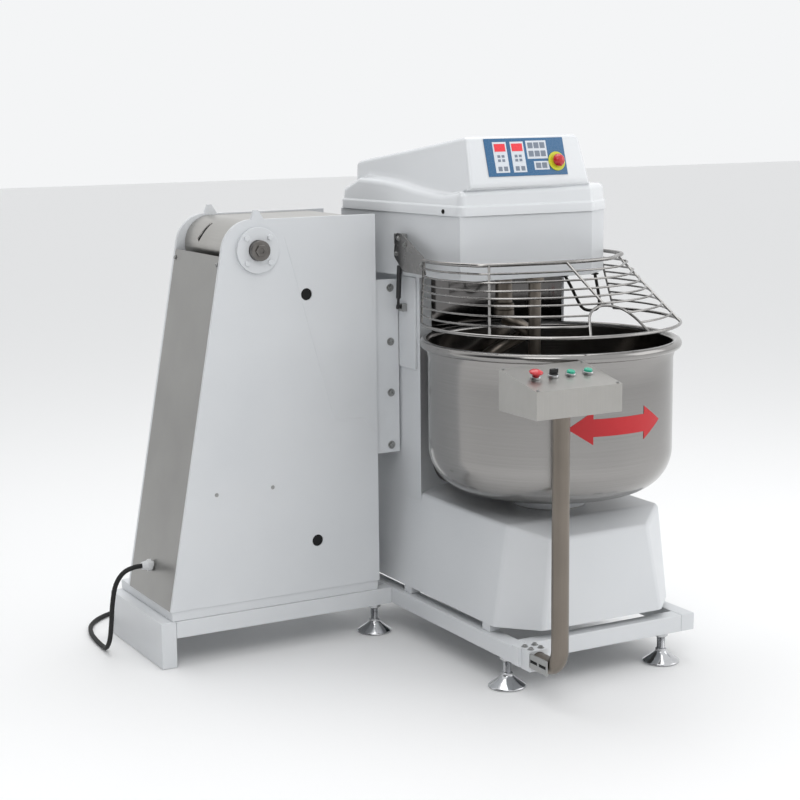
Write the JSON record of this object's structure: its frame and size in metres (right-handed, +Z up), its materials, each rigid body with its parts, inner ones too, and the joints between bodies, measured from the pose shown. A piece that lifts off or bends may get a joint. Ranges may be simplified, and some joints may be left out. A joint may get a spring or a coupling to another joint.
{
  "type": "tilting spiral dough mixer",
  "caption": "Self-tipping spiral dough mixer: bowl, hook, wire guard and head on a column, swung by an arm on a plate tower, with a control box on a pole.",
  "frame": {"origin": "middle of the footprint without the mains lead, on the floor", "axes": "+Z up; +Y from the control box towards the rear; +X from the tower towards the bowl"},
  "size_m": [1.6293, 1.7034, 1.604],
  "materials": {
    "white_paint": "satin powder coat",
    "gloss_white": "glossy moulding",
    "brushed_stainless": "brushed",
    "bowl_stainless": "spun, satin",
    "mirror_stainless": "polished",
    "chrome": "bright",
    "machined_steel": "machined",
    "motor_iron": "painted casting",
    "black_rubber": "matt",
    "black_plastic": "fine texture",
    "blue_film": "printed film",
    "red_plastic": "moulded",
    "green_plastic": "moulded",
    "grey_plastic": "moulded"
  },
  "bodies": {
    "frame": {"left_skid": "white_paint", "tower_beam": "white_paint", "rear_beam": "white_paint", "left_rail": "white_paint", "right_rail": "white_paint", "front_rail": "white_paint", "tower_front_plate": "white_paint", "tower_rear_plate": "white_paint", "tower_base": "white_paint", "bearing_flange_front": "white_paint", "motor_flange": "white_paint", "electrical_cabinet": "white_paint", "pole_clamp": "white_paint", "tower_back_cover": "brushed_stainless", "control_box": "brushed_stainless", "control_pole": "bowl_stainless", "foot_front_left": "chrome", "foot_front_right": "chrome", "foot_inner": "chrome", "foot_rear_inner": "chrome", "foot_rear_right": "chrome", "tilt_gearmotor": "motor_iron", "mains_cord": "black_rubber", "cord_coil": "black_rubber", "mains_plug": "black_rubber", "cable_gland": "grey_plastic"},
    "mixer": {"tilt_arm": "white_paint", "tilt_shaft": "machined_steel", "arm_cover": "brushed_stainless", "base_housing": "white_paint", "column": "white_paint", "column_front_cover": "mirror_stainless", "column_side_cover": "white_paint", "head_shell": "white_paint", "hood": "gloss_white", "control_fascia": "blue_film", "main_motor": "motor_iron", "drive_belt": "black_rubber", "spindle_bearing_housing": "motor_iron", "bowl_motor": "motor_iron", "bowl_belt": "black_rubber", "breaker_bar": "bowl_stainless", "dough_stop": "machined_steel", "guard_hinge_left": "brushed_stainless", "guard_hinge_right": "brushed_stainless", "gas_spring_mount": "brushed_stainless"},
    "spiral": {"spindle": "bowl_stainless", "spiral_hook": "bowl_stainless"},
    "bowl": {"bowl": "bowl_stainless", "bowl_turntable": "brushed_stainless"},
    "spindle_motor_pulley": {"motor_pulley": "machined_steel"},
    "bowl_motor_drive": {"bowl_motor_pulley": "machined_steel"},
    "guard": {"wire_guard": "chrome"},
    "gas_spring_cylinder": {"gas_spring_cylinder": "black_plastic"},
    "gas_spring_rod": {"gas_spring_rod": "chrome"},
    "hood_emergency_stop": {"hood_emergency_stop": "red_plastic"},
    "box_emergency_stop": {"box_emergency_stop": "red_plastic"},
    "selector_switch": {"selector_switch": "black_plastic"},
    "start_button": {"start_button": "green_plastic"},
    "tilt_button": {"tilt_button": "green_plastic"}
  },
  "joints": [
    {"name": "mixer_tilt", "type": "hinge", "parent": "frame", "child": "mixer", "pos_m": [-0.4185, 0.265, 1.269], "axis": [0, -1, 0], "range_deg": [0, 115]},
    {"name": "spiral_spin", "type": "hinge", "parent": "mixer", "child": "spiral", "pos_m": [0.3555, 0.089, 1.2], "axis": [0, 0, 1], "continuous": true},
    {"name": "bowl_spin", "type": "hinge", "parent": "mixer", "child": "bowl", "pos_m": [0.3675, -0.156, 0.5], "axis": [0, 0, 1], "continuous": true},
    {"name": "spindle_motor_spin", "type": "hinge", "parent": "mixer", "child": "spindle_motor_pulley", "pos_m": [0.3675, 0.395, 1.42], "axis": [0, 0, 1], "continuous": true},
    {"name": "bowl_motor_spin", "type": "hinge", "parent": "mixer", "child": "bowl_motor_drive", "pos_m": [0.3675, 0.365, 0.41], "axis": [0, 0, 1], "continuous": true},
    {"name": "guard_hinge", "type": "hinge", "parent": "mixer", "child": "guard", "pos_m": [0.3675, 0.205, 1.287], "axis": [-1, 0, 0], "range_deg": [0, 60]},
    {"name": "gas_spring_swing", "type": "hinge", "parent": "mixer", "child": "gas_spring_cylinder", "pos_m": [0.0525, 0.235, 1.067], "axis": [1, 0, 0], "range_deg": [0, 14.7]},
    {"name": "gas_rod_slide", "type": "slide", "parent": "gas_spring_cylinder", "child": "gas_spring_rod", "axis": [0, -0.0874, 0.9962], "range_m": [0, 0.0222]},
    {"name": "hood_emergency_stop_press", "type": "slide", "parent": "mixer", "child": "hood_emergency_stop", "axis": [0, 0.9555, -0.2951], "range_m": [0, 0.006]},
    {"name": "box_emergency_stop_press", "type": "slide", "parent": "frame", "child": "box_emergency_stop", "axis": [0, 0.2011, -0.9796], "range_m": [0, 0.006]},
    {"name": "selector_turn", "type": "hinge", "parent": "frame", "child": "selector_switch", "pos_m": [0.0472, -0.65, 0.9625], "axis": [0, -0.2011, 0.9796], "range_deg": [-45, 45]},
    {"name": "start_button_press", "type": "slide", "parent": "frame", "child": "start_button", "axis": [0, 0.2011, -0.9796], "range_m": [0, 0.004], "stiffness_N_per_m": 600},
    {"name": "tilt_button_press", "type": "slide", "parent": "frame", "child": "tilt_button", "axis": [0, 0.2011, -0.9796], "range_m": [0, 0.004], "stiffness_N_per_m": 600}
  ],
  "couplings": [
    {"joint": "spindle_motor_spin", "follows": "spiral_spin", "ratio": 2.75},
    {"joint": "bowl_motor_spin", "follows": "bowl_spin", "ratio": 2.8889},
    {"joint": "gas_spring_swing", "follows": "guard_hinge", "ratio": 0.2428},
    {"joint": "gas_rod_slide", "follows": "guard_hinge", "m_per_rad": 0.02107}
  ]
}
